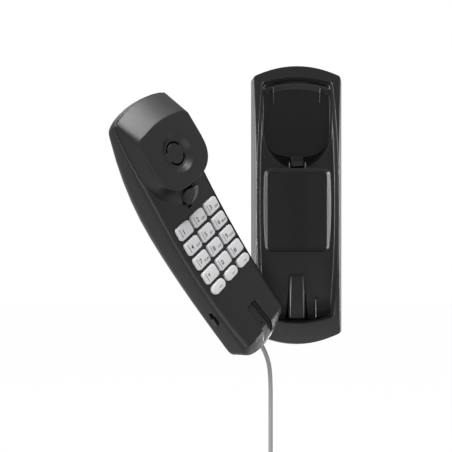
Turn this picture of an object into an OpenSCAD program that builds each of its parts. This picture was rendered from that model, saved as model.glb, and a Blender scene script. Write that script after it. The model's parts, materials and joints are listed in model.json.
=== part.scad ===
// Slimline wall phone: a handset with its keypad in the grip, and a passive
// cradle base that hangs on two screws. Millimetres. +Z is up, the wall is the
// plane Y = 0, and the front of the phone looks along -Y.

/* [Cradle base] */
// Width of the base at its back face
base_w = 68; // [67:0.5:70]
// Height of the base between the tops of its two end arcs
base_h = 208; // [207:0.5:211]
// Distance from the wall to the rim at mid height
rim_d = 27; // [26.5:0.1:27.5]
// Distance from the wall to the floor of the bed at mid height
floor_d = 18.3; // [18:0.1:18.5]
// Distance from the wall to the floor of the earpiece cup
cup_d = 4.2; // [4.1:0.1:4.4]
// Distance between the two keyholes
keyhole_span = 80; // [70:1:82]

/* [Handset] */
// Width of the handset at the middle of its seam
hand_w = 52.6; // [52:0.1:52.8]
// Height of the earpiece plateau over the middle of the face
plateau_h = 15.2; // [14.8:0.1:15.4]
// Depth of the back of the handset under the middle of the face
back_d = 24; // [23:0.5:26]
// Wall thickness of the mouldings
wall = 2; // [1.8:0.1:2.1]

/* [Keypad] */
// Distance between key centres across the handset
key_pitch_u = 14.8; // [14.6:0.1:15]
// Distance between key centres along the handset
key_pitch_v = 11; // [10.8:0.1:11.1]
// Width of a number key
key_w = 12.9; // [12.5:0.1:13]
// Length of a number key
key_l = 8.7; // [8.4:0.1:8.8]
// How far a key stands out of the face
key_out = 1.7; // [1.2:0.1:1.9]

/* [Line cord] */
// Diameter of the round line cord
cord_d = 3.2; // [3:0.1:3.3]
// Turns of the tied coil, which ends at three o'clock
coil_turns = 15.25; // [11.25:1:15.25]

/* [Hidden] */

fit = 0.2;              // gap between pieces that are assembled and stay put
slip = 0.4;             // gap around pieces that move
cut = 1;                // how far a cutter runs past the face that it opens
black = [0.09, 0.09, 0.1];
key_grey = [0.8, 0.8, 0.8];

// ---- where the handset is -------------------------------------------------
// The handset is drawn in its own frame: u across, v towards the earpiece and
// w out of the face. Seated, its face looks at the wall. At rest it is off the
// hook, turned away from the cradle about one slanted axis.
seat_y = -20;
seat_z = -3;
swing_axis = [-0.34, -0.075, 1];
swing_point = [-47.5, -35, 0];
swing_angle = 132;

module seated() { translate([0, seat_y, seat_z]) rotate([90, 0, 180]) children(); }

module in_handset() {
    translate(swing_point) rotate(a = -swing_angle, v = swing_axis) translate(-swing_point)
        seated() children();
}

// ---- handset outline and surfaces -----------------------------------------
bow_v = 8;              // where the handset is widest
bow_k = 4700;           // how slowly it narrows from there
hand_top = 96.4;        // tip of the top end arc
hand_bot = -81.4;       // tip of the bottom end arc
top_r = 70;             // radius of the top end arc
bot_r = 53;             // radius of the bottom end arc
plan_corner_r = 3;      // corners of the outline
face_k = 800;           // curvature of the concave face
face_flat_v = 44;       // the face is level from here up, under the plateau
seam_d = 7;             // the seam under the middle of the face
parting = 0.3;          // width of the parting line
chin_w = 2.2;           // height of the lower edge of the face's end bevel
chin_l = 6;             // length of that bevel
front_n = 7;            // squareness of the section over the seam
back_n = 4.5;           // squareness of the section under the seam

ear_v = 60;             // centre of the earpiece plateau
ear_a = 24.4;           // half width of the plateau
ear_b = 20;             // from its centre to its lower edge
ear_n = 2.6;            // squareness of its lower edge
flare_a = 24.7;         // half width of the foot of its flared wall
flare_b = 30.8;         // from its centre to the foot
cap_r = 67.9;           // radius of the arc where the plateau turns into the cap
cap_v = 13.2;           // centre of that arc
cap_slope = 0.56;       // fall of the cap's slope

function arc_drop(x, r) = r - sqrt(r * r - x * x);
function hand_hw(v) = hand_w / 2 - pow(v - bow_v, 2) / bow_k;
function corner_in(d, r) = d >= r ? 0 : r - sqrt(r * r - (r - d) * (r - d));
function face_w(v) = pow(min(v, face_flat_v), 2) / face_k;
function seam_w(v) = v > 0 ? v * v / 738 - seam_d : -v * v / 3300 - seam_d;
function back_w(v) = (v < 20 ? pow(20 - v, 2) / 1020 : pow(v - 20, 2) / 250) - back_d;

// Heights over the seam, eased near the two ends of the handset
function front_rise(v, lo, hi, in) =
    let (chin = lo < chin_l ? (chin_l - lo) / chin_l : 0)
    max(face_w(v) * (1 - chin) + chin_w * chin - seam_w(v), 0.9) - in;
function back_rise(v, lo, hi, in) =
    let (d = min(lo, hi), ease = d < 6 ? 0.45 * pow(1 - d / 6, 3) : 0)
    (back_w(v) + in - seam_w(v)) * (1 - ease);

// One half of the handset as a closed skin: rings across it that follow both
// end arcs, each a rounded section closed along the seam
fractions = [1, 0.996, 0.988, 0.97, 0.93, 0.84, 0.6, 0.3];
chain_f = concat(-fractions, [0], [for (i = [len(fractions) - 1 : -1 : 0]) fractions[i]]);
chain_n = len(chain_f);
end_steps = [0, 0.8, 2, 3.5, 5, 7];

function swell(f, n) = pow(max(0, 1 - pow(abs(f), n)), 1 / n);
function stations(n) = concat(
    [for (d = end_steps) [d, undef]],
    [for (i = [1 : n - 1]) [undef, i / n]],
    [for (i = [len(end_steps) - 1 : -1 : 0]) [undef, undef, end_steps[i]]]);

function ring_points(st, front, in) = let (
    long = hand_top - hand_bot - 2 * in,
    lo = st[0] != undef ? st[0] : st[2] != undef ? long - st[2] : 7 + (long - 14) * st[1],
    hi = long - lo,
    mid_v = hand_bot + in + lo,
    hw = hand_hw(mid_v) - in - corner_in(min(lo, hi), plan_corner_r),
    share = lo / long,
    pts = [for (f = chain_f) let (
        u = hw * f,
        v = (hand_bot + in + arc_drop(u, bot_r)) * (1 - share)
            + (hand_top - in - arc_drop(u, top_r)) * share,
        rise = front ? front_rise(v, lo, hi, in) : back_rise(v, lo, hi, in))
        [u, v, seam_w(v) - (front ? 0 : parting), rise * swell(f, front ? front_n : back_n)]],
    under = in == 0 ? 0 : front ? 3 : -3)
    concat(
        [[pts[0][0], pts[0][1], pts[0][2] - under]],
        [for (i = [1 : chain_n - 2]) [pts[i][0], pts[i][1], pts[i][2] + pts[i][3]]],
        [for (i = [chain_n - 1 : -1 : 1]) [pts[i][0], pts[i][1], pts[i][2] - under]]);

function ring_sides(m, r0) = [for (i = [0 : m - 1]) let (j = (i + 1) % m)
    each [[r0 + i, r0 + j, r0 + m + i], [r0 + j, r0 + m + j, r0 + m + i]]];
function end_strips(n, r0, flip) = let (m = 2 * n - 2) [for (i = [0 : n - 2]) let (
    a = r0 + i, b = r0 + i + 1, c = r0 + m - 1 - i, d = r0 + (m - i) % m)
    each turned([if (b != c) [a, b, c], if (a != d) [a, c, d]], flip)];
function turned(faces, yes) = yes ? [for (f = faces) [f[2], f[1], f[0]]] : faces;

module half_body(front, in, steps) {
    st = stations(steps);
    m = 2 * chain_n - 2;
    faces = concat(
        [for (k = [0 : len(st) - 2]) each ring_sides(m, k * m)],
        end_strips(chain_n, 0, true),
        end_strips(chain_n, (len(st) - 1) * m, false));
    polyhedron([for (s = st) each ring_points(s, front, in)], turned(faces, front),
        convexity = 4);
}

// ---- earpiece plateau -----------------------------------------------------
ear_steps = 20;
function lower_arc(a, b, n, c) = [for (i = [0 : ear_steps]) let (g = 180 * i / ear_steps)
    [-a * sign(cos(g)) * pow(abs(cos(g)), 2 / n), c - b * pow(sin(g), 2 / n)]];

// The plateau as a closed skin of level outlines: upright up to the cap's slope
cap_w = 6.8;            // height where the cap's slope begins
cap_in = 0.5;           // how far its end wall stands in from the handset's end
cap_steps = [0.94, 0.79, 0.57, 0.32, 0.1, -0.1, -0.32, -0.57, -0.79, -0.94];

function cap_v_at(u, w, in) = min(
    hand_top - cap_in - in - arc_drop(u, top_r),
    cap_v + sqrt(pow(cap_r - 2 * in + (plateau_h - w) / cap_slope, 2) - u * u));
function plateau_ring(w, in, edge) = let (hw = hand_hw(hand_top) - 0.8 - in - edge)
    concat(
        [for (p = lower_arc(ear_a - in - edge, ear_b - in - edge, ear_n, ear_v)) [p[0], p[1], w]],
        [[hw, cap_v_at(hw, w, in) - 2, w]],
        [for (f = cap_steps) [hw * f, cap_v_at(hw * f, w, in), w]],
        [[-hw, cap_v_at(hw, w, in) - 2, w]]);

// Closes a stack of level rings of equal length into a solid
module stack_of(rings) {
    m = len(rings[0]);
    last = (len(rings) - 1) * m;
    polyhedron([for (r = rings) each r], turned(concat(
        [for (k = [0 : len(rings) - 2]) each ring_sides(m, k * m)],
        [for (i = [1 : m - 2]) [0, i + 1, i]],
        [for (i = [1 : m - 2]) [last, last + i, last + i + 1]]), true), convexity = 4);
}

module plateau(in) {
    top = plateau_h - in;
    stack_of([plateau_ring(-1.5 - in / 4, in, 0), plateau_ring(cap_w - in / 2, in, 0),
        plateau_ring(top - 0.4, in, 0), plateau_ring(top, in, 0.35)]);
}

// Everything from a little over the seam up
module over_seam(d) {
    translate([-40, 0, 0]) rotate([90, 0, 90]) linear_extrude(80) polygon(concat(
        [for (v = [20 : 5 : 105]) [v, seam_w(v) + d]], [[105, 30], [20, 30]]));
}

// The lower wall flares out to a rounded foot, hollow in profile
flare_levels = [0, 0.08, 0.18, 0.32, 0.5, 0.75, 0.95];
module flare(in) {
    foot = face_w(34) - in;
    rise = plateau_h - face_w(34);
    stack_of(concat(
        [[for (p = lower_arc(flare_a - in, flare_b - in, 2, ear_v)) [p[0], p[1], foot - 3]]],
        [for (t = flare_levels) let (k = pow(1 - t, 2.5) - 0.04)
            [for (p = lower_arc(ear_a + (flare_a - ear_a) * k - in,
                    ear_b + (flare_b - ear_b) * k - in, ear_n + (2 - ear_n) * k, ear_v))
                [p[0], p[1], foot + rise * t]]]));
}

// ---- keypad ---------------------------------------------------------------
key_names = [
    ["key_1", "key_2", "key_3"],
    ["key_4", "key_5", "key_6"],
    ["key_7", "key_8", "key_9"],
    ["key_star", "key_0", "key_hash"]
];
function_names = ["function_key_left", "function_key_middle", "function_key_right"];
function_gap = 9.8;     // from the last number row to the function keys
function_w = 12.8;
function_l = 6.6;
key_r = 1.8;
key_travel = 1;
flange = 0.55;          // rim that keeps a key behind the face
flange_t = 0.6;
flange_gap = 0.75;      // room between the rim and the wall, which dips at the sides
function row_v(row) = row < 4 ? (1.5 - row) * key_pitch_v : -1.5 * key_pitch_v - function_gap;

module rounded_rect(w, l, r) {
    square([w - 2 * r, l], center = true);
    square([w, l - 2 * r], center = true);
    for (x = [-1, 1], y = [-1, 1])
        translate([x * (w / 2 - r), y * (l / 2 - r)]) circle(r, $fn = 16);
}

module key_plan(row, grow) {
    if (row < 4) rounded_rect(key_w + 2 * grow, key_l + 2 * grow, key_r + grow);
    else rounded_rect(function_w + 2 * grow, function_l + 2 * grow, function_l / 2 + grow - 0.01);
}

// A key in its place, tilted with the face
module key(row, col) {
    v = row_v(row);
    color(key_grey) in_handset()
        translate([(col - 1) * key_pitch_u, v, face_w(v)]) rotate([atan(2 * v / face_k), 0, 0]) {
            translate([0, 0, -wall - flange_gap])
                linear_extrude(wall + flange_gap + key_out - 0.5) key_plan(row, 0);
            translate([0, 0, key_out - 0.5]) linear_extrude(0.5) key_plan(row, -0.4);
            translate([0, 0, -wall - flange_gap - flange_t])
                linear_extrude(flange_t) key_plan(row, flange);
        }
}

// ---- details of the shells ------------------------------------------------
dish_r = 12;            // earpiece dish
dish_floor_r = 8.2;
dish_d = 2.4;
c_slot_r = [6.2, 7.4];  // its two C-shaped slots, inner and outer radius
c_slot_gap = 2.6;       // half the bridge between their ends
groove_top_v = -51.4;   // groove that receives the cradle's tongue
groove_hw = 4.7;        // its half width at the top
groove_flare = 0.05;    // how fast it widens towards the bottom end
groove_d = 2.5;
mic_v = -68;
mic_hole_r = 0.8;
relief_w = -9;          // centre of the cord's outlet
relief_r = 2.3;
switch_v = -44;         // ringer switch, on the seam of the left side
switch_w = -6.6;
// screws that hold the two shells together: [u, v]
shell_screw_at = [[0, 79], [-16, -67], [16, -67]];
post_split_w = -4;      // where the two shells' posts meet
post_r = 3.4;
pilot_r = 1.15;
shank_r = 1;
head_r = 2.6;

// hook lever: pivot [v, w] near the keys, and a rounded fin beside the plateau
lever_u = -0.6;
lever_t = 3.2;
lever_pivot = [24, -4];
lever_room_r = 23.7;    // the slot clears every point of the fin
lever_slot_v = 25.3;    // lower end of the lever's slot
tab_slot_hw = 5;        // the wider slot for the cradle's hook tab
tab_slot_v = 29.4;
tab_slot_w = 8.5;
pin_r = 0.8;
lever_fin = [[26.4, -1], [27.2, 3], [28.6, 6.4], [30.6, 9.4], [33, 12.2],
    [35.4, 14.2], [36.8, 14.4], [37.6, 13], [37, 8], [34.5, 1], [30.5, -4]];

function groove_w(v) = face_w(v) - groove_d;
module groove_plan(grow) {
    long = groove_top_v - hand_bot + cut;
    polygon([[-groove_hw - grow, groove_top_v + grow], [groove_hw + grow, groove_top_v + grow],
        [groove_hw + grow + groove_flare * long, groove_top_v - long],
        [-groove_hw - grow - groove_flare * long, groove_top_v - long]]);
}

// Space over the groove's floor, or the block that backs it when deep is more
module groove_space(grow, deep) {
    intersection() {
        translate([0, 0, -20]) linear_extrude(50) groove_plan(grow);
        translate([-20, 0, 0]) rotate([90, 0, 90]) linear_extrude(40)
            polygon(concat(
                [for (i = [0 : 6]) let (v = hand_bot - 2 + 5.6 * i) [v, groove_w(v) - deep]],
                [[groove_top_v + 4, 20], [hand_bot - 2, 20]]));
    }
}

module c_slots() {
    for (turn = [0, 180]) rotate([0, 0, turn]) linear_extrude(12) difference() {
        circle(c_slot_r[1], $fn = 32);
        circle(c_slot_r[0], $fn = 32);
        translate([-10, c_slot_gap - 20]) square([20, 20]);
    }
}

module slot_part(u, hw, low_v, top_w) {
    intersection() {
        translate([u - hw, lever_pivot[0], lever_pivot[1]]) rotate([0, 90, 0])
            cylinder(h = 2 * hw, r = lever_room_r, $fn = 48);
        translate([-20, low_v, lever_pivot[1]]) cube([40, 40, top_w - lever_pivot[1]]);
    }
}
module lever_slot() {
    slot_part(lever_u, lever_t / 2 + slip, lever_slot_v, 40);
    slot_part(0, tab_slot_hw, tab_slot_v, tab_slot_w);
}

module switch_window() {
    translate([-30, switch_v - 4.5 - slip, switch_w - 1.5 - slip])
        cube([7.4, 9 + 2 * slip, 3 + 2 * slip]);
}

// ---- handset shells -------------------------------------------------------
module front_post(p) {
    top = (p[1] > ear_v ? plateau_h : face_w(p[1])) - wall / 2;
    translate([p[0], p[1], post_split_w]) difference() {
        cylinder(h = top - post_split_w, r = post_r, $fn = 32);
        translate([0, 0, -cut]) cylinder(h = 6 + cut, r = pilot_r, $fn = 24);
    }
}

module lever_ears() {
    for (u = [lever_u - lever_t / 2 - slip - 1.6, lever_u + lever_t / 2 + slip])
        translate([u, lever_pivot[0], lever_pivot[1]]) rotate([0, 90, 0]) difference() {
            union() {
                cylinder(h = 1.6, r = 2, $fn = 32);
                translate([-3.6, -2, 0]) cube([3.6, 3.2, 1.6]);
            }
            translate([0, 0, -cut]) cylinder(h = 4, r = pin_r + 0.05, $fn = 24);
        }
}

module front_shell() {
    color(black) in_handset() {
        difference() {
            union() {
                difference() {
                    union() {
                        half_body(true, 0, 13);
                        intersection() {
                            plateau(0);
                            over_seam(0.5);
                        }
                        flare(0);
                    }
                    half_body(true, wall, 6);
                    plateau(wall);
                }
                // thicker wall behind the earpiece dish and the groove
                translate([0, ear_v, plateau_h - 5]) cylinder(h = 4, r = dish_r + wall, $fn = 64);
                intersection() {
                    groove_space(wall, wall);
                    half_body(true, wall / 2, 6);
                }
                for (p = shell_screw_at) front_post(p);
            }
            translate([0, ear_v, plateau_h - dish_d])
                cylinder(h = dish_d + 0.01, r1 = dish_floor_r, r2 = dish_r, $fn = 64);
            translate([0, ear_v, plateau_h - 9]) c_slots();
            groove_space(0, 0);
            translate([0, mic_v, -2]) cylinder(h = 12, r = mic_hole_r, $fn = 24);
            for (row = [0 : 4], col = [0 : 2])
                translate([(col - 1) * key_pitch_u, row_v(row), -wall - cut])
                    hull() linear_extrude(2 * wall + 3 * cut) key_plan(row, slip);
            lever_slot();
            switch_window();
            translate([0, hand_bot + 6, relief_w]) rotate([90, 0, 0])
                cylinder(h = 12, r = relief_r + fit, $fn = 32);
        }
        lever_ears();
    }
}

module back_shell() {
    color(black) in_handset() difference() {
        union() {
            difference() {
                half_body(false, 0, 12);
                half_body(false, wall, 6);
            }
            for (p = shell_screw_at) let (low = back_w(p[1]) + wall / 2)
                translate([p[0], p[1], low]) hull() {
                    cylinder(h = post_split_w - fit - low, r = post_r, $fn = 32);
                    cylinder(h = 4, r = post_r + 1.4, $fn = 32);
                }
        }
        for (p = shell_screw_at) translate([p[0], p[1], -40]) {
            cylinder(h = 50, r = shank_r + fit, $fn = 24);
            cylinder(h = 40 + back_w(p[1]) + 2.6, r = head_r + fit, $fn = 32);
        }
        for (i = [-2 : 2]) hull() for (end = [-1, 1])
            translate([i * 3.6, ear_v + end * (5 - abs(i)), -30]) cylinder(h = 16, r = 0.6, $fn = 24);
        switch_window();
        translate([0, hand_bot + 6, relief_w]) rotate([90, 0, 0])
            cylinder(h = 12, r = relief_r + fit, $fn = 32);
    }
}

module shell_screws() {
    color("gray") in_handset() for (p = shell_screw_at) let (seat = back_w(p[1]) + 2.6)
        translate([p[0], p[1], seat]) {
            difference() {
                translate([0, 0, -1.6]) cylinder(h = 1.6, r = head_r, $fn = 32);
                for (a = [0, 90]) rotate([0, 0, a])
                    translate([-1.6, -0.35, -1.6 - cut]) cube([3.2, 0.7, 0.8 + cut]);
            }
            cylinder(h = post_split_w + 5 - seat, r = shank_r, $fn = 24);
        }
}

// ---- inside the handset ---------------------------------------------------
board_w = -8;           // face of the circuit board
board_t = 1.6;
board_v = [-47, 23.4];
board_hw = 20.5;
key_back = wall + flange_gap + flange_t;
dome_w = -key_back - key_travel - 0.2;

module keypad_mat() {
    color("dimgray") in_handset() {
        translate([-20, -36, board_w]) cube([40, 56, 1.2]);
        for (row = [0 : 4], col = [0 : 2])
            translate([(col - 1) * key_pitch_u, row_v(row), board_w + 1.1])
                cylinder(h = dome_w - board_w - 1.1, r1 = 3.6, r2 = 2.4, $fn = 32);
    }
}

module circuit_board() {
    color("darkgreen") in_handset() difference() {
        translate([-board_hw, board_v[0], board_w - board_t])
            cube([2 * board_hw, board_v[1] - board_v[0], board_t]);
        for (u = [-18, 18], v = [-43, 20])
            translate([u, v, board_w - board_t - cut]) cylinder(h = 4, r = 1.2, $fn = 24);
    }
}

module board_components() {
    under = board_w - board_t;
    color("dimgray") in_handset() {
        translate([-9, -8, under - 2.4]) cube([10, 16, 2.4]);
        translate([6, -20, under - 1.8]) cube([6, 9, 1.8]);
        translate([-14, -26, under - 3.2]) cube([8, 8, 3.2]);
        for (v = [-2, 6, 14]) translate([12, v, under - 3]) cylinder(h = 3, r = 2.2, $fn = 32);
    }
}

module receiver_capsule() {
    color("silver") in_handset() translate([0, ear_v, 1]) {
        cylinder(h = 7, r = 12.4, $fn = 64);
        translate([0, 0, -1.6]) cylinder(h = 1.6, r = 7, $fn = 48);
    }
}

module receiver_gasket() {
    color("dimgray") in_handset() translate([0, ear_v, 8]) difference() {
        cylinder(h = plateau_h - 5 - 8, r = 12, $fn = 64);
        translate([0, 0, -cut]) cylinder(h = 6, r = 8.5, $fn = 64);
    }
}

mic_top = groove_w(mic_v) - wall - 1.8;
module microphone_boot() {
    color("dimgray") in_handset() translate([0, mic_v, mic_top - 6]) difference() {
        cylinder(h = 6, r = 6, $fn = 48);
        translate([0, 0, 1]) cylinder(h = 6, r = 4.9, $fn = 48);
    }
}

module microphone_capsule() {
    color("silver") in_handset() translate([0, mic_v, mic_top - 5])
        cylinder(h = 4.6, r = 4.8, $fn = 48);
}

module ringer_buzzer() {
    color("dimgray") in_handset() translate([0, ear_v - 3, -12.6]) difference() {
        cylinder(h = 4.5, r = 9.5, $fn = 64);
        translate([0, 0, -cut]) cylinder(h = 1.6 + cut, r = 1.5, $fn = 24);
    }
}

module ballast_weight() {
    color("gray") in_handset() difference() {
        translate([-15, -38, -17.2]) cube([30, 56, 3.6]);
        for (v = [-32, 12]) translate([0, v, -20]) cylinder(h = 10, r = 1.6, $fn = 24);
    }
}

// ---- hook lever and switches ----------------------------------------------
module hook_lever() {
    color(black) in_handset() translate([lever_u - lever_t / 2, 0, 0])
        rotate([90, 0, 90]) difference() {
            union() {
                linear_extrude(lever_t) polygon(concat(lever_fin, [[26, -5.6], [24, -5.4]]));
                translate([lever_pivot[0], lever_pivot[1], 0]) cylinder(h = lever_t, r = 1.9, $fn = 32);
            }
            translate([lever_pivot[0], lever_pivot[1], -cut])
                cylinder(h = lever_t + 2 * cut, r = pin_r + 0.05, $fn = 24);
        }
}

module hook_lever_pin() {
    color("silver") in_handset()
        translate([lever_u - lever_t / 2 - slip - 1.6, lever_pivot[0], lever_pivot[1]])
            rotate([0, 90, 0]) cylinder(h = lever_t + 2 * slip + 3.2, r = pin_r, $fn = 24);
}

module hook_switch() {
    color("dimgray") in_handset() {
        translate([-1, board_v[1] - 3.4, board_w - board_t - 5.4]) cube([7.2, 12, 5.4]);
    }
}

module ringer_switch_body() {
    color("silver") in_handset()
        translate([-22.7, switch_v - 4, switch_w - 2.4]) cube([2, 8, 4.8]);
}

module ringer_switch_knob() {
    color([0.05, 0.05, 0.05]) in_handset()
        translate([-26.9, switch_v - 4, switch_w - 1.5]) {
            cube([3.9, 5, 3]);
            for (i = [1 : 3]) translate([-0.3, 1.2 * i - 0.1, 0.2]) cube([0.6, 0.5, 2.6]);
        }
}

// ---- line cord ------------------------------------------------------------
cord_r = cord_d / 2;
bend_r = 12;            // turn from the hanging run into the coil
turn_pitch = cord_d + 0.5;
layers = 4;
coil_mid_r = 17.6;      // middle of the coil's turns
layer_turns = coil_turns / layers;
coil_out_r = coil_mid_r + layer_turns * turn_pitch / 2;
relief_tip = 4.5;       // how far the strain relief stands out of the handset

// Points of the hanging run, from the strain relief down to the coil
run_points = [
    [-26.3, -39.3, -98.7], [-24.9, -38.2, -101.4], [-23.3, -37, -104.8], [-22, -35.9, -108.4],
    [-20.9, -35, -112.4], [-20.2, -34.3, -116.8], [-19.8, -33.8, -121.6], [-19.6, -33.5, -127],
    [-19.5, -33.4, -133], [-19.5, -33.4, -140], [-19.5, -33.4, -148], [-19.5, -33.4, -156],
    [-19.5, -33.4, -164], [-19.5, -33.4, -170], [-19.5, -33.4, -176]
];
run_end = run_points[len(run_points) - 1];
coil_centre = [run_end[0] + bend_r, run_end[1], run_end[2] - cord_d - bend_r - coil_out_r];
tail_l = 26;            // straight end of the cord over the plug
plug_top = [coil_centre[0] + coil_out_r, run_end[1] + (layers - 1) * turn_pitch,
    coil_centre[2] - tail_l];

function unit(a) = a / norm(a);
function tangent(p, i) = unit(p[min(i + 1, len(p) - 1)] - p[max(i - 1, 0)]);
function along(p, i = 0) = i + 1 >= len(p) ? 0 : norm(p[i + 1] - p[i]) + along(p, i + 1);
function smooth(x) = x * x * (3 - 2 * x);

// Radius and layer of the coil after t turns: in and out at a steady rate, with
// a climb to the next layer in the half turn around each reversal
function coil_r(t) = let (k = t / layer_turns, n = floor(k), f = k - n)
    coil_out_r - (n % 2 == 0 ? f : 1 - f) * layer_turns * turn_pitch;
function coil_y(t) = let (k = round(t / layer_turns), d = t - k * layer_turns)
    turn_pitch * (k == 0 ? 0 : k == layers ? layers - 1
        : abs(d) > 0.25 ? (d > 0 ? k : k - 1) : k - 1 + smooth((d + 0.25) * 2));
function coil_point(t) = let (a = 90 - 360 * t, r = coil_r(t))
    coil_centre + [r * cos(a), coil_y(t), r * sin(a)];

rings_per_turn = 24;
coil_points = concat(
    [run_end, run_end - [0, 0, cord_d]],
    [for (i = [1 : 5]) let (a = 180 - 15 * i)
        run_end + [bend_r + bend_r * cos(a), 0, -cord_d - bend_r * sin(a)]],
    [for (i = [0 : coil_turns * rings_per_turn]) coil_point(i / rings_per_turn)],
    [plug_top + [0, 0, tail_l / 2], plug_top + [0, 0, cord_d], plug_top]);

function ring(p, t, r, sides) = let (s = unit(cross(t, [0, 1, 0])), q = cross(s, t))
    [for (k = [0 : sides - 1]) let (a = 360 * (k + 0.5) / sides)
        p + r * (cos(a) * s + sin(a) * q)];
module tube(points, r, sides) {
    n = len(points);
    faces = concat(
        [for (i = [0 : n - 2]) each ring_sides(sides, i * sides)],
        [for (k = [1 : sides - 2]) [0, k + 1, k]],
        [for (k = [1 : sides - 2]) let (e = (n - 1) * sides) [e, e + k, e + k + 1]]);
    polyhedron([for (i = [0 : n - 1]) each ring(points[i], tangent(points, i), r, sides)],
        faces, convexity = 10);
}

function gap_to_self(p, skip) = min([for (i = [0 : 3 : len(p) - 1 - skip])
    min([for (j = [i + skip : len(p) - 1]) norm(p[i] - p[j])])]) - cord_d;
echo(cord_length = along(run_points) + along(coil_points));
echo(coil_gap = gap_to_self(coil_points, 14));

module cord_strain_relief() {
    color(black) in_handset() translate([0, hand_bot, relief_w]) rotate([90, 0, 0]) {
        translate([0, 0, -5.8]) cylinder(h = 5.8, r = relief_r, $fn = 32);
        cylinder(h = relief_tip, r1 = relief_r, r2 = cord_r + 0.3, $fn = 32);
        translate([-3.4, -1.8, -5.7]) cube([6.8, 3.6, 1.6]);
    }
}

module cord_run() { color("gray") tube(run_points, cord_r, 8); }
module cord_coil() { color("gray") tube(coil_points, cord_r, 6); }

// A flat band around the bundle of turns, at the coil's left
module cord_tie() {
    span_r = layer_turns * turn_pitch + cord_d + 1;
    span_y = (layers - 1) * turn_pitch + cord_d + 1;
    color(black)
        translate([coil_centre[0] - coil_mid_r, coil_centre[1] + (layers - 1) * turn_pitch / 2,
                coil_centre[2] - 2.5])
            linear_extrude(5) difference() {
                rounded_rect(span_r + 1.6, span_y + 1.6, 2);
                rounded_rect(span_r, span_y, 1.2);
            }
}

plug_size = [9.7, 6.6, 13.5];
module line_plug() {
    color("lightgray") translate(plug_top) {
        difference() {
            translate([-plug_size[0] / 2, -plug_size[1] / 2, -plug_size[2]]) cube(plug_size);
            for (i = [-1.5 : 1.5])
                translate([1.1 * i - 0.3, -plug_size[1] / 2 - cut, -plug_size[2] - cut])
                    cube([0.6, 3 + cut, 5 + cut]);
        }
        translate([-1.6, plug_size[1] / 2 + 1, -plug_size[2] + 1]) cube([3.2, 1, 12.5]);
        translate([-1.6, plug_size[1] / 2 - 0.2, -plug_size[2] + 1]) cube([3.2, 1.4, 1.2]);
    }
}

module plug_contacts() {
    color("gold") translate(plug_top) for (i = [-1.5 : 1.5])
        translate([1.1 * i - 0.2, -plug_size[1] / 2 + 0.5, -plug_size[2] + 0.3]) cube([0.4, 2.4, 4.4]);
}

// ---- cradle base ----------------------------------------------------------
base_end_r = 65.6;      // end arcs of the back outline
base_corner_r = 3;
base_draft = 0.165;     // how fast the walls lean in towards the front
bed_draft = 0.25;       // how fast the bed's walls open towards the rim
rim_curve = [380, 320]; // radius-like curvature of the rim, lower and upper half
floor_curve = [360, 400];
bed_end_d = 13.4;       // depth from the wall where the bed's outline is given
bed_hw = 25.4;          // half width of the bed at its ends
bed_mid = 0.5;          // extra half width at mid height
bed_top = 94;           // tip of the bed's top arc
bed_bottom = -85.6;     // tip of its bottom arc
bed_top_r = 66;
bed_bottom_r = 62;
cup_rim_b = 31.8;       // cup's edge in the floor: an ellipse about its centre
cup_rim_a = 25.4;
cup_v = 57;             // height of the cup's centre
cup_floor_top = 87;     // top of the cup's floor
recess_size = [49.2, 62];
recess_floor_size = [43.4, 58];
recess_z = -4.5;
recess_d = 3;
plate_t = 2;
tab_hw = 4.4;
tab_z = [27.9, 32.9];   // bottom and top of the hook tab's stem
tab_toe = [18.4, 31];   // depth of its toe, and how high the toe reaches
tab_head = [16.4, 13, 35]; // front and back depth of its head, and the head's top
tongue_z = [-87, -50];
// screws that hold the back plate: [x, z]
base_screw_at = [[-27, 34], [27, 34], [-20, -72], [20, -72]];
base_boss_r = 3.6;
keyhole_z = -20;        // middle of the two keyholes
keyhole_r = 4.5;
keyhole_slot_r = 2.3;
keyhole_rise = 8;

function rim_y(z) = -rim_d + z * z / (2 * (z < 0 ? rim_curve[0] : rim_curve[1]));
function floor_y(z) = -floor_d + z * z / (2 * (z < 0 ? floor_curve[0] : floor_curve[1]));

// Upright outline with arc ends and small rounded corners, in X and Z
function upright(hw, mid, top, bot, rt, rb, r) = let (
    zt = top - arc_drop(hw, rt), zb = bot + arc_drop(hw, rb), zm = (zt + zb) / 2,
    right = concat(
        [for (i = [0 : 6]) let (x = (hw - r) * i / 6) [x, bot + arc_drop(x, rb)]],
        [for (a = [-75 : 15 : 0]) [hw - r + r * cos(a), bot + arc_drop(hw - r, rb) + r + r * sin(a)]],
        [for (i = [1 : 9]) let (z = zb + (zt - zb) * i / 10)
            [hw + mid * (1 - pow((z - zm) / (zt - zm), 2)), z]],
        [for (a = [0 : 15 : 75]) [hw - r + r * cos(a), top - arc_drop(hw - r, rt) - r + r * sin(a)]],
        [for (i = [6 : -1 : 0]) let (x = (hw - r) * i / 6) [x, top - arc_drop(x, rt)]]))
    concat(right, [for (i = [len(right) - 2 : -1 : 1]) [-right[i][0], right[i][1]]]);

// A thin upright slab at depth d from the wall, for hulls
module slab(d, points) { translate([0, -d, 0]) rotate([90, 0, 0]) linear_extrude(0.01) polygon(points); }
module from_y(y0, y1) { translate([0, y1, 0]) rotate([90, 0, 0]) linear_extrude(y1 - y0) children(); }
module across_x(hw) { translate([-hw, 0, 0]) rotate([90, 0, 90]) linear_extrude(2 * hw) children(); }

profile_z = [for (i = [-13 : 13]) 8 * i];
module in_front_of(offset_y, floor) {
    across_x(60) polygon(concat(
        [for (z = profile_z) [(floor ? floor_y(z) : rim_y(z)) + offset_y, z]],
        [[-60, 104], [-60, -104]]));
}

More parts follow.
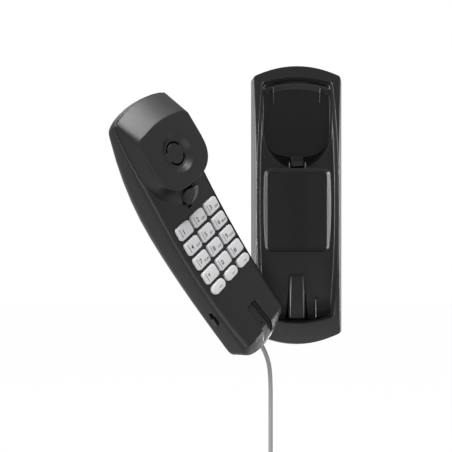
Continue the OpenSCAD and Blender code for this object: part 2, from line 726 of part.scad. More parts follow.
module base_block(in) {
    hull() {
        slab(0, upright(base_w / 2 - in, 0, base_h / 2 - in, in - base_h / 2,
            base_end_r, base_end_r, base_corner_r));
        slab(30, upright(base_w / 2 - in - 30 * base_draft, 0, base_h / 2 - in - 30 * base_draft,
            in - base_h / 2 + 30 * base_draft, base_end_r, base_end_r, base_corner_r));
    }
}

function bed_outline(d, in) = let (open = (d - bed_end_d) * bed_draft)
    upright(bed_hw + open - in, bed_mid, bed_top + open - in, bed_bottom - open + in,
        bed_top_r, bed_bottom_r, 2.5);

module bed(in) {
    intersection() {
        hull() {
            slab(8, bed_outline(8, in));
            slab(32, bed_outline(32, in));
        }
        in_front_of(-in, true);
    }
}

function cup_outline(a, b, n, top, r) = let (hw = a - 1)
    concat(lower_arc(a, b, n, cup_v),
        [[a, top - arc_drop(a, r) - 2.5]],
        [for (i = [6 : -1 : -6]) let (x = hw * i / 6) [x, top - arc_drop(x, r)]],
        [[-a, top - arc_drop(a, r) - 2.5]]);

module cup(in) {
    hull() {
        slab(cup_d + in, cup_outline(24.9 - in, ear_b + 0.8 - in, ear_n, cup_floor_top - in, bed_top_r));
        slab(bed_end_d, cup_outline(25.3 - in, 25 - in, 2.3, bed_top - in, bed_top_r));
        for (level = [[floor_d + 0.2, 1], [32, 2]])
            slab(level[0], cup_outline(cup_rim_a + 0.4 - in, cup_rim_b - in, 2,
                bed_top + level[1] - in, bed_top_r));
    }
}

module keypad_recess(in) {
    hull() {
        translate([0, 0, recess_z]) from_y(-floor_d - 0.2, -floor_d - 0.1)
            rounded_rect(recess_size[0] - 2 * in, recess_size[1] - 2 * in, 4.5);
        translate([0, 0, recess_z]) from_y(recess_d - floor_d - in - 0.1, recess_d - floor_d - in)
            rounded_rect(recess_floor_size[0] - 2 * in, recess_floor_size[1] - 2 * in, 3.5);
    }
}

// Raised tongue that drops into the handset's groove
module tongue() {
    hull() {
        translate([-6, -14, tongue_z[1] - 0.1]) cube([12, 2, 0.1]);
        translate([-3.8, -15.6, tongue_z[1] - 2.6]) cube([7.6, 2, 0.1]);
        translate([-4.8, -13.9, -83]) cube([9.6, 2, 0.1]);
        translate([-8.4, -8.6, -83.5]) cube([16.8, 2, 0.1]);
        translate([-4.6, -8.6, tongue_z[0]]) cube([9.2, 2, 0.1]);
    }
}

module base_shell() {
    color(black) difference() {
        union() {
            difference() {
                base_block(0);
                in_front_of(0, false);
                bed(0);
                cup(0);
                keypad_recess(0);
                base_hollow();
            }
            intersection() {
                tongue();
                base_block(wall);
            }
            for (p = base_screw_at) translate([p[0], 0, p[1]])
                from_y(floor_y(p[1]) + wall / 2, -plate_t - fit) circle(base_boss_r, $fn = 32);
        }
        for (p = base_screw_at) translate([p[0], 0, p[1]])
            from_y(-9, cut) circle(pilot_r, $fn = 24);
        tab_hole();
    }
}

// Space behind the bed, open at the back for the plate
module base_hollow() {
    difference() {
        intersection() {
            base_block(wall);
            from_y(-40, cut) square([200, 300], center = true);
        }
        in_front_of(wall, false);
        bed(-wall);
        cup(-wall);
        keypad_recess(-wall);
    }
}

module tab_hole() {
    translate([0, 0, (tab_z[0] + tab_z[1]) / 2])
        from_y(-30, -plate_t) square([2 * (tab_hw + fit), tab_z[1] - tab_z[0] + 2 * fit], center = true);
}

// The tab that presses the hook lever: its stem passes through the cup's wall
// to the back plate, its head stands in front of the wall and its toe fills
// the hole up to the bed's floor
module hook_tab() {
    color(black) across_x(tab_hw) polygon([
        [-tab_toe[0], tab_z[0]], [-tab_toe[0], tab_toe[1]], [-tab_head[0], tab_toe[1]],
        [-tab_head[0], tab_head[2]], [-tab_head[1], tab_head[2]], [-tab_head[1], tab_z[1]],
        [-plate_t - 3 * fit, tab_z[1]], [-plate_t - 3 * fit, tab_z[0]]]);
}

module base_back_plate() {
    color(black) difference() {
        from_y(-plate_t, 0) polygon(upright(base_w / 2 - wall - 0.6, 0, base_h / 2 - wall - 0.6,
            wall + 0.6 - base_h / 2, base_end_r, base_end_r, base_corner_r));
        for (p = base_screw_at) translate([p[0], 0, p[1]]) {
            from_y(-5, cut) circle(shank_r + fit, $fn = 24);
            from_y(-0.9, cut) circle(head_r + fit, $fn = 32);
        }
        for (s = [-1, 1]) translate([0, 0, keyhole_z + s * keyhole_span / 2]) from_y(-5, cut) {
            circle(keyhole_r, $fn = 48);
            translate([0, keyhole_rise]) circle(keyhole_slot_r, $fn = 32);
            translate([-keyhole_slot_r, 0]) square([2 * keyhole_slot_r, keyhole_rise]);
        }
    }
}

module base_screws() {
    color("gray") for (p = base_screw_at) translate([p[0], 0, p[1]]) difference() {
        union() {
            from_y(-0.9, -0.1) circle(head_r, $fn = 32);
            from_y(-8, -0.5) circle(shank_r, $fn = 24);
        }
        for (a = [0, 90]) from_y(-0.6, cut) rotate(a) square([3.2, 0.7], center = true);
    }
}

base_shell();
base_back_plate();
base_screws();
hook_tab();
front_shell();
back_shell();
shell_screws();
for (row = [0 : 3], col = [0 : 2])
    key(row, col);
for (col = [0 : 2])
    key(4, col);
keypad_mat();
circuit_board();
board_components();
receiver_capsule();
receiver_gasket();
microphone_capsule();
microphone_boot();
ringer_buzzer();
ballast_weight();
hook_lever();
hook_lever_pin();
hook_switch();
ringer_switch_body();
ringer_switch_knob();
cord_strain_relief();
cord_run();
cord_coil();
cord_tie();
line_plug();
plug_contacts();
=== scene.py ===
"""Looks of the slimline wall phone: finishes, smooth shells, small forms of the cradle, line
cord, keys with their legends, and studio.

Small parts are drawn in millimetres in the frame of what carries them, and their
place is then written into their mesh. The handset's own frame has u across it, v
towards the earpiece and w out of its face, as in the part's source.
"""

import json
import math

import bmesh
import bpy
from mathutils import Matrix, Vector


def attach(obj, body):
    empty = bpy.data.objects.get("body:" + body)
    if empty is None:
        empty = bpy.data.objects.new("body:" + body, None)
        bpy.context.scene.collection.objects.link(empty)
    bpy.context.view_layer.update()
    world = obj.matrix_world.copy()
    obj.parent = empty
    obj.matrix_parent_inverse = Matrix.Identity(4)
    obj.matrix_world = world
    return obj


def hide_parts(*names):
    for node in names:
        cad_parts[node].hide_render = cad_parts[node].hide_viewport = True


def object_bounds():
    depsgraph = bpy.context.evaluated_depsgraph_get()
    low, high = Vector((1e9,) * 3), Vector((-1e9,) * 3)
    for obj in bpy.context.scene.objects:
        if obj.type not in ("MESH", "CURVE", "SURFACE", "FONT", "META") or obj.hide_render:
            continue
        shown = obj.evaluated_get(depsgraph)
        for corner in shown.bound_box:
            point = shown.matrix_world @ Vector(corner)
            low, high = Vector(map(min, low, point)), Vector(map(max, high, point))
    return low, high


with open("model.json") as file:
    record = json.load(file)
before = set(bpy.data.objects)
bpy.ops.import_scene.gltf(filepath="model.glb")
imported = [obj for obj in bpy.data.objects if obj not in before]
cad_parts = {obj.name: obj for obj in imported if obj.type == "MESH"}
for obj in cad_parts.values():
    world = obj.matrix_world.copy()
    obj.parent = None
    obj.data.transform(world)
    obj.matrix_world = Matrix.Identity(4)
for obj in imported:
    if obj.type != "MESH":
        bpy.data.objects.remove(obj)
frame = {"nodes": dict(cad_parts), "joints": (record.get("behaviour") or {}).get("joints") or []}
cad_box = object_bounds()

MM = 0.001
JOINTS = {j["name"]: j for j in frame["joints"]}


# ---- frames of the two bodies ------------------------------------------------
LEVER_PIN = Vector((-0.6, 24, -4))


def handset_frame():
    """The handset's frame at rest, from its joints' axes and the hook lever's pin."""
    w = -Vector(JOINTS["key_5_press"]["axis"]).normalized()
    v = Vector(JOINTS["ringer_switch_slide"]["axis"]).normalized()
    axes = Matrix((v.cross(w), v, w)).transposed()
    origin = Vector(JOINTS["hook_lever_press"]["pos_m"]) - axes @ LEVER_PIN * MM
    return Matrix.Translation(origin) @ axes.to_4x4() @ Matrix.Scale(MM, 4)


HANDSET = handset_frame()
CRADLE = Matrix.Scale(MM, 4)

# The face is a hollow curve that goes on level above FACE_FLAT_V
FACE_K, FACE_FLAT_V = 800, 44


def face_w(v):
    return min(v, FACE_FLAT_V) ** 2 / FACE_K


# ---- camera --------------------------------------------------------------------
def add_camera():
    data = bpy.data.cameras.new("camera")
    data.lens = 52.93
    data.sensor_width = 36
    data.shift_x = -0.0892
    data.shift_y = 0.0622
    camera = bpy.data.objects.new("camera", data)
    camera.location = (-0.0225, -0.5, -0.0362)
    camera.rotation_euler = (math.pi / 2, 0, 0)
    bpy.context.scene.collection.objects.link(camera)
    bpy.context.scene.camera = camera


add_camera()


# ---- shader maths --------------------------------------------------------------
class Value:
    """A socket's value: arithmetic on it adds Math nodes to its finish."""

    def __init__(self, finish, socket):
        self.finish = finish
        self.socket = socket

    def _math(self, operation, a, b):
        return self.finish.node("ShaderNodeMath", {"operation": operation}, {0: a, 1: b})

    def __add__(self, other):
        return self._math("ADD", self, other)

    def __radd__(self, other):
        return self._math("ADD", other, self)

    def __mul__(self, other):
        return self._math("MULTIPLY", self, other)


class Finish:
    """A procedural material: constants go on the shader's sockets, patterns are fed to them."""

    def __init__(self, name, **constants):
        self.material = bpy.data.materials.new(name)
        self.material.use_nodes = True
        self.tree = self.material.node_tree
        self.shader = self.tree.nodes["Principled BSDF"]
        for word, value in constants.items():
            socket = word.replace("_", " ").title().replace("Ior", "IOR")
            self.shader.inputs[socket].default_value = value

    def node(self, kind, settings=None, inputs=None, out=0):
        made = self.tree.nodes.new(kind)
        for key, value in (settings or {}).items():
            setattr(made, key, value)
        for key, value in (inputs or {}).items():
            if isinstance(value, Value):
                self.tree.links.new(value.socket, made.inputs[key])
            else:
                made.inputs[key].default_value = value
        return Value(self, made.outputs[out])

    def feed(self, socket, value):
        self.tree.links.new(value.socket, self.shader.inputs[socket])

    def place(self):
        return self.node("ShaderNodeTexCoord", out="Object")

    def noise(self, scale, detail=3.0, roughness=0.55):
        return self.node("ShaderNodeTexNoise", {}, {
            "Vector": self.place(), "Scale": scale, "Detail": detail, "Roughness": roughness})

    def between(self, factor, low, high):
        """A colour that goes from low to high as factor goes from 0 to 1."""
        return self.node("ShaderNodeMix", {"data_type": "RGBA", "clamp_factor": True},
            {"Factor": factor, 6: (*low, 1), 7: (*high, 1)}, out=2)

    def bump(self, height, distance, edge=0):
        """A bumped surface; edge is the radius to which edges look rounded off."""
        inputs = {"Height": height, "Distance": distance, "Strength": 1.0}
        if edge:
            inputs["Normal"] = self.node("ShaderNodeBevel", {"samples": 8}, {"Radius": edge})
        self.feed("Normal", self.node("ShaderNodeBump", {}, inputs))


SHEEN_RANGE = 0.08


def grey(level):
    return (level, level, level * 1.02)


def moulded(name, dark, light, rough, grain=0.000012, edge=0.0004, specular=0.5):
    """Moulded plastic: a fine spark-eroded texture, slow changes of tone, eased edges."""
    made = Finish(name, specular_ior_level=specular)
    cloud = made.noise(35, 4)
    made.feed("Base Color", made.between(cloud, dark, light))
    sheen = made.noise(110, 3)
    made.feed("Roughness", rough - SHEEN_RANGE / 2 + sheen * SHEEN_RANGE)
    fine = made.noise(4200, 2, 0.7)
    made.bump(fine, grain, edge)
    return made.material


def metal(name, colour, rough):
    """Plated or drawn metal with faint lengthwise scratches."""
    made = Finish(name, metallic=1.0)
    cloud = made.noise(220, 3)
    dull = tuple(c * 0.82 for c in colour)
    made.feed("Base Color", made.between(cloud, dull, colour))
    made.feed("Roughness", rough + made.noise(900, 2) * 0.15)
    made.bump(made.noise(2600, 2), 0.000008)
    return made.material


black_plastic = moulded("satin_black_plastic", grey(0.0025), grey(0.004), 0.36,
    edge=0.0009, specular=0.25)
base_plastic = moulded("satin_black_cradle_plastic", grey(0.002), grey(0.0035), 0.34,
    edge=0.0012, specular=0.2)
# The lever is the handset's black plastic, painted lighter: its grey stands in for light that
# the shaded slot around it keeps from it.
lever_painted_lighter_plastic = moulded("satin_black_lever_painted_lighter_plastic", grey(0.018), grey(0.024), 0.4,
    edge=0.0005, specular=0.4)
inner_black = moulded("matt_black_inside", grey(0.004), grey(0.007), 0.7, edge=0)
glossy_black = moulded("glossy_black_plastic", grey(0.006), grey(0.008), 0.18,
    grain=0.000004, edge=0.0003)
key_plastic = moulded("light_grey_key_plastic", grey(0.45), grey(0.49), 0.42,
    grain=0.00001, edge=0.0003, specular=0.35)
key_ink = moulded("dark_grey_ink", grey(0.04), grey(0.06), 0.6,
    grain=0.000004, edge=0, specular=0.2)
rubber = moulded("dark_silicone_rubber", grey(0.02), grey(0.03), 0.65, edge=0)
cord_vinyl = moulded("grey_cord_vinyl", grey(0.19), grey(0.23), 0.42, grain=0.00002, edge=0)
component = moulded("dark_component_resin", grey(0.03), grey(0.045), 0.45, edge=0.0002)
# Painted shade: the steel receiver capsule is given this near-black cover so that the earpiece
# slots stay dark and show no steel.
painted_shade_cover = moulded("painted_shade_capsule_cover", grey(0.003), grey(0.006), 0.9,
    grain=0.00003, edge=0, specular=0.1)
brass = metal("gilded_contact", (0.85, 0.62, 0.25), 0.25)
steel = metal("zinc_plated_steel", (0.55, 0.56, 0.58), 0.3)


def clear_plug_material():
    """Clear moulded polycarbonate with faint flow lines."""
    made = Finish("clear_polycarbonate", transmission_weight=0.85, ior=1.58)
    cloud = made.noise(300, 2)
    made.feed("Base Color", made.between(cloud, (0.82, 0.86, 0.88), (0.92, 0.94, 0.95)))
    made.feed("Roughness", 0.06 + made.noise(500, 2) * 0.08)
    made.bump(made.noise(400, 2), 0.00003)
    return made.material


def board_material():
    """Green solder mask over copper tracks."""
    made = Finish("green_circuit_board", coat_weight=0.3)
    bands = made.node("ShaderNodeTexVoronoi", {"feature": "DISTANCE_TO_EDGE"},
        {"Vector": made.place(), "Scale": 260.0})
    tracks = made.node("ShaderNodeMath", {"operation": "LESS_THAN"}, {0: bands, 1: 0.12})
    made.feed("Base Color", made.between(tracks, (0.01, 0.10, 0.035), (0.02, 0.19, 0.06)))
    made.feed("Roughness", 0.35 + made.noise(400) * 0.1)
    made.bump(tracks, 0.00003)
    return made.material


clear_plug = clear_plug_material()
board_green = board_material()

FINISH_OF_NODES = [
    (black_plastic, ["front_shell", "back_shell", "cord_strain_relief"]),
    (base_plastic, ["base_shell", "base_back_plate", "hook_tab"]),
    (lever_painted_lighter_plastic, ["hook_lever"]),
    (glossy_black, ["ringer_switch_knob"]),
    (inner_black, ["ringer_switch_body", "receiver_gasket"]),
    (painted_shade_cover, ["receiver_capsule"]),
    (rubber, ["keypad_mat", "microphone_boot", "cord_tie"]),
    (component, ["board_components", "ringer_buzzer", "hook_switch"]),
    (steel, ["base_screws", "shell_screws", "hook_lever_pin", "microphone_capsule",
        "ballast_weight"]),
    (board_green, ["circuit_board"]),
    (cord_vinyl, ["cord_run", "cord_coil"]),
    (clear_plug, ["line_plug"]),
    (brass, ["plug_contacts"]),
]
NODE_FINISH = {node: material for material, nodes in FINISH_OF_NODES for node in nodes}


def finish_with(obj, material):
    obj.data.materials.clear()
    obj.data.materials.append(material)


# The nodes that no row names are the keys
for name, node in frame["nodes"].items():
    finish_with(node, NODE_FINISH.get(name, key_plastic))


# ---- pieces ----------------------------------------------------------------------
def new_piece(name, bm, material, place, body, smooth_angle=None):
    """A mesh piece from a bmesh in millimetres, put in its place and set to ride on a body.
    Edges turn crisp from smooth_angle on, or stay as the bmesh has them."""
    mesh = bpy.data.meshes.new(name)
    bm.to_mesh(mesh)
    bm.free()
    mesh.transform(place)
    obj = bpy.data.objects.new(name, mesh)
    bpy.context.scene.collection.objects.link(obj)
    soften(obj, smooth_angle)
    finish_with(obj, material)
    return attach(obj, body)


def soften(obj, angle):
    for polygon in obj.data.polygons:
        polygon.use_smooth = True
    if angle:
        obj.data.set_sharp_from_angle(angle=math.radians(angle))


WELD_M = 0.000002


def welded_copy(name, node, material, place, body, crease_at, reshape=None):
    """A smooth-shaded copy of a moulded shell, which stands for it. crease_at gives, for a
    place in millimetres in the body's own frame, the angle from which an edge is crisp."""
    bm = bmesh.new()
    bm.from_mesh(frame["nodes"][node].data)
    bmesh.ops.remove_doubles(bm, verts=bm.verts, dist=WELD_M)
    bmesh.ops.dissolve_degenerate(bm, edges=bm.edges, dist=WELD_M)
    bm.transform(place.inverted())
    if reshape:
        reshape(bm)
        bm.normal_update()
    for edge in bm.edges:
        limit = math.radians(crease_at((edge.verts[0].co + edge.verts[1].co) / 2))
        edge.smooth = len(edge.link_faces) == 2 and edge.calc_face_angle() < limit
    piece = new_piece(name, bm, material, place, body)
    weighted = piece.modifiers.new("weighted_normals", "WEIGHTED_NORMAL")
    weighted.keep_sharp = True
    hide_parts(node)
    return piece


# Angles from which an edge is crisp: on rounded ends and sides, and elsewhere
ROUNDING_CREASE, FACE_CREASE = 42, 20
BASE_END_CREASE, BASE_CREASE = 40, 18
END_V, BASE_END_Z = 84, 84  # where the handset's upper end and the cradle's ends begin
SIDE_SHARE = 0.8            # of the half width, where the rounding of the sides begins
WIDEST, WIDEST_V, WIDTH_K = 26.3, 8, 4700

# The groove's upper end: its place, how near to it a point belongs to it, and its half width
GROOVE_TOP_V, GROOVE_NEAR, GROOVE_HALF = -51.4, 0.3, 5
GROOVE_LIP = 1.5            # points less deep than this stay where they are
GROOVE_RAMP = 2.6           # how far the deeper points move towards the handset's lower end

CHIN_V = -70.5              # where the face folds back into the chin
CHIN_SLOPE = 0.75           # how far the face drops per mm beyond the fold
CHIN_STRETCH = 0.55         # how far a point also moves towards the end, per mm of drop
CHIN_BAND = 4               # height of the bands the shell is cut into beyond the fold
CHIN_EDGE = 0.5             # an edge this near CHIN_V belongs to the fold
SEAM_W = -6                 # where the two shells meet; the drop is nothing there


def half_width(v):
    return WIDEST - (v - WIDEST_V) ** 2 / WIDTH_K


def front_crease(p):
    on_side = abs(p.x) > SIDE_SHARE * half_width(p.y)
    on_end = p.y > END_V or p.y < CHIN_V - CHIN_BAND
    on_fold = abs(p.y - CHIN_V) <= CHIN_EDGE
    return ROUNDING_CREASE if (on_side or on_end) and not on_fold else FACE_CREASE


def base_crease(p):
    return BASE_END_CREASE if abs(p.z) > BASE_END_Z else BASE_CREASE


def shape_front(bm):
    """Leans the groove's upper end into a ramp, and the handset's lower end back into a chin."""
    for vert in bm.verts:
        u, v, w = vert.co
        at_end = abs(v - GROOVE_TOP_V) < GROOVE_NEAR and abs(u) < GROOVE_HALF
        if at_end and 0 < w < face_w(v) - GROOVE_LIP:
            vert.co.y -= GROOVE_RAMP
    for cut_v in (CHIN_V, CHIN_V - CHIN_BAND, CHIN_V - 2 * CHIN_BAND):
        geometry = list(bm.verts) + list(bm.edges) + list(bm.faces)
        bmesh.ops.bisect_plane(bm, geom=geometry, dist=0.0001, plane_co=(0, cut_v, 0),
            plane_no=(0, 1, 0))
    for vert in bm.verts:
        u, v, w = vert.co
        if v < CHIN_V and w > SEAM_W:
            drop = CHIN_SLOPE * (CHIN_V - v) * (w - SEAM_W) / (face_w(v) - SEAM_W)
            vert.co.z -= drop
            vert.co.y -= CHIN_STRETCH * drop


handset_front = welded_copy("handset_front", "front_shell", black_plastic, HANDSET, "handset",
    front_crease, shape_front)
handset_back = welded_copy("handset_back", "back_shell", black_plastic, HANDSET, "handset",
    lambda p: ROUNDING_CREASE)
cradle_shell = welded_copy("cradle_shell", "base_shell", base_plastic, CRADLE, "cradle",
    base_crease)


# ---- small forms of the cradle -----------------------------------------------------
RIB_T = 0.9
BEAD_AT, BEAD_RADII = (5.85, -18.7, 28.3), (0.6, 0.9, 2.9)
# Each rib's distance from the middle, and its (y, z) corners
CUP_RIB = 17.6, [(-4, 76), (-4.9, 76), (-8, 89.5), (-4, 89.5)]
BED_RIB = 14, [(-12, -69), (-13.6, -69), (-13.6, -83), (-8, -83)]
cradle_details = []


def add_detail(name, bm, smooth_angle):
    piece = new_piece(name, bm, base_plastic, CRADLE, "cradle", smooth_angle)
    cradle_details.append(piece)


def add_bead(name, side):
    x, y, z = BEAD_AT
    bm = bmesh.new()
    bmesh.ops.create_uvsphere(bm, u_segments=16, v_segments=12, radius=1,
        matrix=Matrix.Translation((x * side, y, z)) @ Matrix.Diagonal((*BEAD_RADII, 1)))
    add_detail(name, bm, None)


def add_rib(name, side, rib):
    """A thin upright web that stands on the floor of the bed or the cup."""
    x, section = rib
    bm = bmesh.new()
    corners = [bm.verts.new((x * side + half, y, z))
        for half in (-RIB_T / 2, RIB_T / 2) for y, z in section]
    bmesh.ops.convex_hull(bm, input=corners)
    add_detail(name, bm, 30)


for side, word in ((-1, "left"), (1, "right")):
    add_bead("tab_bead_" + word, side)
    add_rib("cup_rib_" + word, side, CUP_RIB)
    add_rib("bed_rib_" + word, side, BED_RIB)


# ---- line cord ---------------------------------------------------------------------
CORD_D = 3.2
BEND_R = 12
TURN_PITCH = CORD_D + 0.5
LAYERS = 4
COIL_TURNS = 15.25
COIL_MID_R = 17.6
LAYER_TURNS = COIL_TURNS / LAYERS
COIL_OUT_R = COIL_MID_R + LAYER_TURNS * TURN_PITCH / 2
CLIMB = 0.25                # turns before and after a reversal in which the cord changes layer
BEND_STEPS = 6              # steps in the quarter bend from the run into the coil
TAIL_L = 26
RINGS_PER_TURN = 24
RUN_POINTS = [
    (-26.3, -39.3, -98.7), (-24.9, -38.2, -101.4), (-23.3, -37, -104.8), (-22, -35.9, -108.4),
    (-20.9, -35, -112.4), (-20.2, -34.3, -116.8), (-19.8, -33.8, -121.6), (-19.6, -33.5, -127),
    (-19.5, -33.4, -133), (-19.5, -33.4, -140), (-19.5, -33.4, -148), (-19.5, -33.4, -156),
    (-19.5, -33.4, -164), (-19.5, -33.4, -170), (-19.5, -33.4, -176),
]
run_end = Vector(RUN_POINTS[-1])
coil_centre = run_end + Vector((BEND_R, 0, -CORD_D - BEND_R - COIL_OUT_R))
plug_top = Vector((coil_centre.x + COIL_OUT_R, run_end.y + (LAYERS - 1) * TURN_PITCH,
    coil_centre.z - TAIL_L))


def coil_radius(t):
    layer = math.floor(t / LAYER_TURNS)
    share = t / LAYER_TURNS - layer
    return COIL_OUT_R - (share if layer % 2 == 0 else 1 - share) * LAYER_TURNS * TURN_PITCH


def coil_depth(t):
    """Layer by layer, with a smooth climb around each reversal."""
    near = round(t / LAYER_TURNS)
    off = t - near * LAYER_TURNS
    if near == 0:
        return 0
    if near == LAYERS:
        return (LAYERS - 1) * TURN_PITCH
    if abs(off) > CLIMB:
        return (near if off > 0 else near - 1) * TURN_PITCH
    x = (off + CLIMB) / (2 * CLIMB)
    return (near - 1 + x * x * (3 - 2 * x)) * TURN_PITCH


def coil_point(t):
    angle = math.radians(90 - 360 * t)
    return coil_centre + Vector((coil_radius(t) * math.cos(angle), coil_depth(t),
        coil_radius(t) * math.sin(angle)))


def cord_points():
    points = [Vector(p) for p in RUN_POINTS] + [run_end - Vector((0, 0, CORD_D))]
    for i in range(1, BEND_STEPS):
        angle = math.pi - math.pi / 2 * i / BEND_STEPS
        points.append(run_end + Vector((BEND_R + BEND_R * math.cos(angle), 0,
            -CORD_D - BEND_R * math.sin(angle))))
    turns = int(COIL_TURNS * RINGS_PER_TURN)
    points += [coil_point(i / RINGS_PER_TURN) for i in range(turns + 1)]
    return points + [plug_top + Vector((0, 0, z)) for z in (TAIL_L / 2, CORD_D, 0)]


def add_cord():
    points = [p * MM for p in cord_points()]
    curve = bpy.data.curves.new("line_cord", "CURVE")
    curve.dimensions = "3D"
    spline = curve.splines.new("POLY")
    spline.points.add(len(points) - 1)
    for target, point in zip(spline.points, points):
        target.co = (*point, 1)
    curve.bevel_depth = CORD_D / 2 * MM
    curve.bevel_resolution = 3
    curve.use_fill_caps = True
    curve.twist_mode = "MINIMUM"
    spline.use_smooth = True
    cord = bpy.data.objects.new("line_cord", curve)
    bpy.context.scene.collection.objects.link(cord)
    cord.data.materials.append(cord_vinyl)
    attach(cord, "handset")
    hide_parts("cord_run", "cord_coil")
    length = sum((b - a).length for a, b in zip(points, points[1:]))


add_cord()


# ---- keys ----------------------------------------------------------------------------
KEY_PITCH_U, KEY_PITCH_V, FUNCTION_GAP = 14.8, 11, 9.8
KEY_NAMES = [
    ["key_1", "key_2", "key_3"],
    ["key_4", "key_5", "key_6"],
    ["key_7", "key_8", "key_9"],
    ["key_star", "key_0", "key_hash"],
    ["function_key_left", "function_key_middle", "function_key_right"],
]
NUMBER_ROWS = 4
NUMBER_KEY = {"size": (12.9, 8.7), "corner": 1.8}
FUNCTION_KEY = {"size": (12.8, 6.6), "corner": 3.28}
KEY_LOW, KEY_OUT, KEY_ROUND = -2.75, 1.7, 0.6
CORNER_STEPS, ROUND_STEPS = 8, 4
CAPITAL_SHARE = 0.69        # height of a capital in the font's size
INK_T = 0.024
INK_GAP = 0.004             # between the key's top and the middle of the ink
BOLDER = 0.028              # how much wider strokes get, in letter heights
# Legends on a key: height or size, and the middle's place
DIGIT = {"height": 3.1, "at": (-1.85, -0.3)}
LETTERS = {"height": 1.4, "at": (3.2, -1.7), "spread": 1.05}
NUMBER_BAR = {"size": (0.42, 5.6), "at": (-4.4, 0)}
FUNCTION_BAR = {"size": (3.2, 0.4), "at": (1.2, -0.9)}
LEGENDS = {
    "key_1": ("1", ""), "key_2": ("2", "ABC"), "key_3": ("3", "DEF"),
    "key_4": ("4", "GHI"), "key_5": ("5", "JKL"), "key_6": ("6", "MNO"),
    "key_7": ("7", "PQRS"), "key_8": ("8", "TUV"), "key_9": ("9", "WXYZ"),
    "key_star": ("*", ""), "key_0": ("0", ""), "key_hash": ("#", ""),
}


def key_place(row, col):
    if row < NUMBER_ROWS:
        v = (1.5 - row) * KEY_PITCH_V
    else:
        v = -1.5 * KEY_PITCH_V - FUNCTION_GAP
    tilt = math.atan(2 * v / FACE_K)
    return (HANDSET @ Matrix.Translation(((col - 1) * KEY_PITCH_U, v, face_w(v)))
        @ Matrix.Rotation(tilt, 4, "X"))


def upright_edges(bm):
    return [e for e in bm.edges if abs((e.verts[0].co - e.verts[1].co).normalized().z) > 0.99]


def bevel(bm, edges, offset, segments):
    bmesh.ops.bevel(bm, geom=edges, offset=offset, segments=segments, affect="EDGES",
        profile=0.5, material=-1, offset_type="OFFSET")


def top_faces(bm):
    high = max(v.co.z for v in bm.verts)
    return [f for f in bm.faces if f.normal.z > 0.9 and f.calc_center_median().z > high - 0.01]


def add_block(bm, size, at):
    bmesh.ops.create_cube(bm, size=1,
        matrix=Matrix.Translation(at) @ Matrix.Diagonal((*size, 1)))


def key_block(size, corner):
    """A block with rounded upright corners and a rounded top rim."""
    bm = bmesh.new()
    add_block(bm, (*size, KEY_OUT - KEY_LOW), (0, 0, (KEY_LOW + KEY_OUT) / 2))
    bevel(bm, upright_edges(bm), corner, CORNER_STEPS)
    bm.normal_update()
    rim = {e for f in top_faces(bm) for e in f.edges}
    bevel(bm, list(rim), KEY_ROUND, ROUND_STEPS)
    return bm


def add_lettering(bm, text, height, at, spread=1.0):
    """Adds flat lettering, its middle at the given place."""
    curve = bpy.data.curves.new("legend", "FONT")
    curve.body = text
    curve.size = height / CAPITAL_SHARE
    curve.align_x = "CENTER"
    curve.align_y = "CENTER"
    curve.space_character = spread
    curve.extrude = INK_T / 2
    curve.offset = height * BOLDER
    curve.resolution_u = 3
    holder = bpy.data.objects.new("legend", curve)
    bpy.context.scene.collection.objects.link(holder)
    bpy.context.view_layer.update()
    evaluated = holder.evaluated_get(bpy.context.evaluated_depsgraph_get())
    mesh = bpy.data.meshes.new_from_object(evaluated)
    bpy.data.objects.remove(holder)
    bpy.data.curves.remove(curve)
    mesh.transform(Matrix.Translation((*at, KEY_OUT + INK_GAP)))
    bm.from_mesh(mesh)


def add_bar(bm, size, at):
    add_block(bm, (*size, INK_T), (*at, KEY_OUT + INK_GAP))


def add_key(name, row, col):
    kind = NUMBER_KEY if row < NUMBER_ROWS else FUNCTION_KEY
    place = key_place(row, col)
    cap = new_piece(name + "_cap", key_block(**kind), key_plastic, place, name, 40)
    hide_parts(name)
    ink = bmesh.new()
    if row < NUMBER_ROWS:
        digit, letters = LEGENDS[name]
        add_lettering(ink, digit, **DIGIT)
        if letters:
            add_lettering(ink, letters, **LETTERS)
        add_bar(ink, **NUMBER_BAR)
    else:
        add_bar(ink, **FUNCTION_BAR)
    legend = new_piece(name + "_legend", ink, key_ink, place, name, 30)


for row, names in enumerate(KEY_NAMES):
    for col, name in enumerate(names):
        add_key(name, row, col)


# ---- studio -----------------------------------------------------------------------------
FLOOR_HALF, FLOOR_GAP = 2.5, 0.0005
FLOOR_GLOW = 0.98           # share of plain white that the camera and reflections see
AMBIENT = 0.35


def add_floor():
    bm = bmesh.new()
    bmesh.ops.create_grid(bm, x_segments=1, y_segments=1, size=FLOOR_HALF)
    mesh = bpy.data.meshes.new("floor")
    bm.to_mesh(mesh)
    bm.free()
    floor = bpy.data.objects.new("floor", mesh)
    mesh.transform(Matrix.Translation((0, 0, cad_box[0][2] - FLOOR_GAP)))
    bpy.context.scene.collection.objects.link(floor)
    made = Finish("pale_floor")
    made.feed("Base Color", made.between(made.noise(3), (0.90, 0.90, 0.90), (0.93, 0.93, 0.93)))
    made.shader.inputs["Roughness"].default_value = 0.8
    glow = made.node("ShaderNodeEmission", {}, {"Color": (1, 1, 1, 1), "Strength": 1.0})
    paths = {k: made.node("ShaderNodeLightPath", {}, {}, out=k)
        for k in ("Is Camera Ray", "Is Glossy Ray")}
    shown = (paths["Is Camera Ray"] + paths["Is Glossy Ray"]) * FLOOR_GLOW
    mixed = made.node("ShaderNodeMixShader", {}, {0: shown})
    mixer = mixed.socket.node
    made.tree.links.new(made.shader.outputs[0], mixer.inputs[1])
    made.tree.links.new(glow.socket, mixer.inputs[2])
    output = next(n for n in made.tree.nodes if n.type == "OUTPUT_MATERIAL")
    made.tree.links.new(mixed.socket, output.inputs["Surface"])
    mesh.materials.append(made.material)


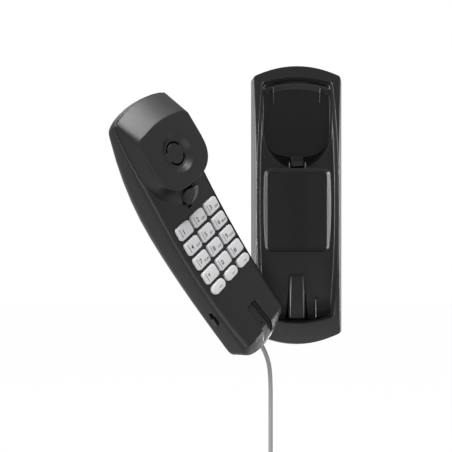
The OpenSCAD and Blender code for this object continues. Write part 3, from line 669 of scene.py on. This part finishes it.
def add_world():
    """White to the camera, in reflections and through clear pieces; a soft light otherwise."""
    world = bpy.data.worlds.new("studio")
    world.use_nodes = True
    bpy.context.scene.world = world
    nodes = world.node_tree.nodes
    links = world.node_tree.links
    ambient = nodes["Background"]
    ambient.inputs["Color"].default_value = (1, 1, 1, 1)
    ambient.inputs["Strength"].default_value = AMBIENT
    white = nodes.new("ShaderNodeBackground")
    white.inputs["Color"].default_value = (1, 1, 1, 1)
    white.inputs["Strength"].default_value = 1.0
    paths = nodes.new("ShaderNodeLightPath")
    seen = paths.outputs["Is Camera Ray"]
    for ray in ("Is Glossy Ray", "Is Transmission Ray"):
        either = nodes.new("ShaderNodeMath")
        either.operation = "MAXIMUM"
        links.new(seen, either.inputs[0])
        links.new(paths.outputs[ray], either.inputs[1])
        seen = either.outputs[0]
    mix = nodes.new("ShaderNodeMixShader")
    links.new(seen, mix.inputs[0])
    links.new(ambient.outputs[0], mix.inputs[1])
    links.new(white.outputs[0], mix.inputs[2])
    links.new(mix.outputs[0], nodes["World Output"].inputs["Surface"])


def pieces_group(name, pieces, left_out=False):
    """Pieces a lamp is linked to, or leaves out."""
    group = bpy.data.collections.new(name)
    for piece in pieces:
        group.objects.link(piece)
    if left_out:
        for member in group.collection_objects:
            member.light_linking.link_state = "EXCLUDE"
    return group


def add_softbox(name, at, target, size, power, lit=None, blocked_by=None):
    """A lamp the camera doesn't see, which may light the pieces of one group alone. A lamp
    below the floor also gets the group that may shade it, because the floor would block it."""
    data = bpy.data.lights.new(name, "AREA")
    data.shape = "RECTANGLE"
    data.size, data.size_y = size
    data.energy = power
    lamp = bpy.data.objects.new(name, data)
    lamp.location = at
    lamp.rotation_euler = (Vector(target) - Vector(at)).to_track_quat("-Z", "Y").to_euler()
    lamp.visible_camera = False
    bpy.context.scene.collection.objects.link(lamp)
    if lit:
        lamp.light_linking.receiver_collection = lit
    if blocked_by:
        lamp.light_linking.blocker_collection = blocked_by


add_floor()
add_world()
cradle_pieces = [cradle_shell, frame["nodes"]["hook_tab"]] + cradle_details
handset_pieces = [handset_front, handset_back, frame["nodes"]["hook_lever"]]
cradle = pieces_group("cradle_only", cradle_pieces)
handset = pieces_group("handset_only", handset_pieces)
not_cradle = pieces_group("all_but_cradle", cradle_pieces, True)

SQUARE = (0.4, 0.4)
STRIP_TARGET = (0, -0.02, 0)
add_softbox("top_softbox", (0.05, -0.32, 0.7), (-0.09, -0.1, 0.06), (0.35, 0.35), 9,
    not_cradle)
add_softbox("front_softbox", (-0.65, -0.6, 0.55), (-0.04, -0.06, 0.0), SQUARE, 10,
    not_cradle)
# The first lights the handset's side that faces down and left, the second its chin
add_softbox("low_softbox", (0.144, -0.62, -0.37), (-0.08, -0.09, 0.03), SQUARE, 6,
    handset, handset)
add_softbox("chin_softbox", (0.25, 0.35, -0.35), (-0.03, -0.06, -0.08), SQUARE, 4.5,
    handset, handset)
# Long lamps that graze the cradle, for its lower rim and its side walls
add_softbox("low_strip", (0, -0.2, -0.48), STRIP_TARGET, (0.5, 0.12), 5, cradle, cradle)
add_softbox("left_strip", (-0.5, -0.13, 0), STRIP_TARGET, (0.12, 0.6), 26, cradle)
add_softbox("right_strip", (0.5, -0.13, 0), STRIP_TARGET, (0.12, 0.6), 18, cradle)

bpy.context.scene.view_settings.view_transform = "Standard"
